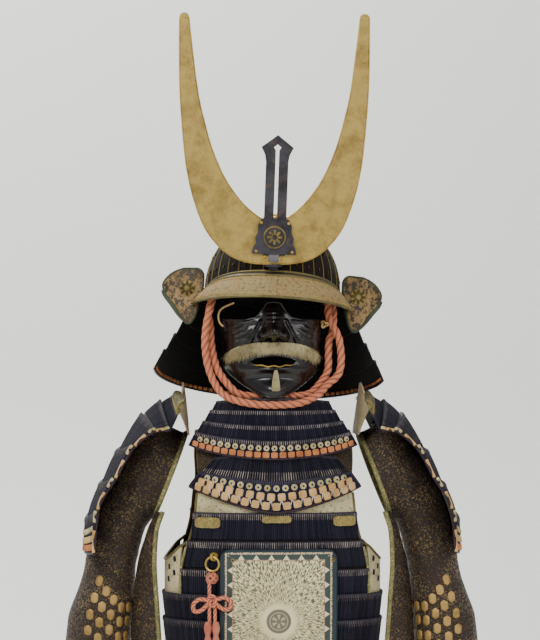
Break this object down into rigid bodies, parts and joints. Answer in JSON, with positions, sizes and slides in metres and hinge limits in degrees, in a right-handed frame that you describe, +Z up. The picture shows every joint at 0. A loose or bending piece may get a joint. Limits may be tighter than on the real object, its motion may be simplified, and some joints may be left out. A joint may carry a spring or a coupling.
{
  "type": "laced plate armour",
  "caption": "Japanese laced plate armour in its worn form: helmet with tall crescent crest, half mask, gorget, cuirass with skirt panels, shoulder guards and mail-faced sleeves.",
  "frame": {"origin": "midway between the two shoulder straps, at the height where they rest on the wearer's shoulders", "axes": "+Z up along the body, -Y to the front, +X to the wearer's left"},
  "size_m": [0.684, 0.3675, 1.4106],
  "materials": {
    "black_lacquer": "brown-black gloss lacquer",
    "gilt_metal": "worn gilding with fine scratches",
    "stencilled_leather": "cream leather with a stencilled pattern",
    "navy_lacing": "close navy silk lacing over black lacquered lames",
    "brocade": "green and gold brocade",
    "dark_iron": "russet brown iron",
    "hair": "cream animal hair",
    "twisted_cord": "salmon twisted silk rope",
    "silk_tassel": "pink silk cord and tassels",
    "mail_on_cloth": "fine brown-black mail and small gilt plates on dark cloth"
  },
  "bodies": {
    "armour": {"helmet_bowl": "black_lacquer", "mask": "black_lacquer", "crown_ornament": "gilt_metal", "ring_boss": "gilt_metal", "chest_ring": "gilt_metal", "helmet_visor": "stencilled_leather", "turnback_left": "stencilled_leather", "turnback_right": "stencilled_leather", "chest_plate": "stencilled_leather", "side_plate_left": "stencilled_leather", "side_plate_right": "stencilled_leather", "front_panel": "stencilled_leather", "neck_lame_1": "navy_lacing", "neck_lame_2": "navy_lacing", "neck_lame_3": "navy_lacing", "neck_lame_4": "navy_lacing", "neck_lame_5": "navy_lacing", "throat_lame_1": "navy_lacing", "throat_lame_2": "navy_lacing", "throat_lame_3": "navy_lacing", "throat_lame_4": "navy_lacing", "gorget_upper": "navy_lacing", "gorget_lower": "navy_lacing", "front_lames": "navy_lacing", "waist_lame_1": "navy_lacing", "waist_lame_2": "navy_lacing", "waist_lame_3": "navy_lacing", "waist_lame_4": "navy_lacing", "back_plate": "navy_lacing", "back_lames": "navy_lacing", "skirt_panel_1": "navy_lacing", "skirt_panel_2": "navy_lacing", "skirt_panel_3": "navy_lacing", "skirt_panel_4": "navy_lacing", "skirt_panel_5": "navy_lacing", "skirt_panel_6": "navy_lacing", "skirt_panel_7": "navy_lacing", "shoulder_guard_left": "navy_lacing", "shoulder_guard_right": "navy_lacing", "shoulder_strap_left": "brocade", "shoulder_strap_right": "brocade", "standing_flange_left": "brocade", "standing_flange_right": "brocade", "guard_top_left": "brocade", "guard_top_right": "brocade", "crest_socket": "dark_iron", "hand_guard_left": "dark_iron", "hand_guard_right": "dark_iron", "moustache": "hair", "chin_tuft": "hair", "chin_cord_outer": "twisted_cord", "chin_cord_inner": "twisted_cord", "chest_tassel": "silk_tassel", "sleeve_left": "mail_on_cloth", "sleeve_right": "mail_on_cloth", "sleeve_flap_left": "mail_on_cloth", "sleeve_flap_right": "mail_on_cloth"},
    "crest": {"crest_moon": "gilt_metal", "crest_prong": "dark_iron", "crest_plate": "dark_iron"}
  },
  "joints": [
    {"name": "crest_lift", "type": "slide", "parent": "armour", "child": "crest", "axis": [0.0175, 0, 0.9998], "range_m": [0, 0.03]}
  ]
}
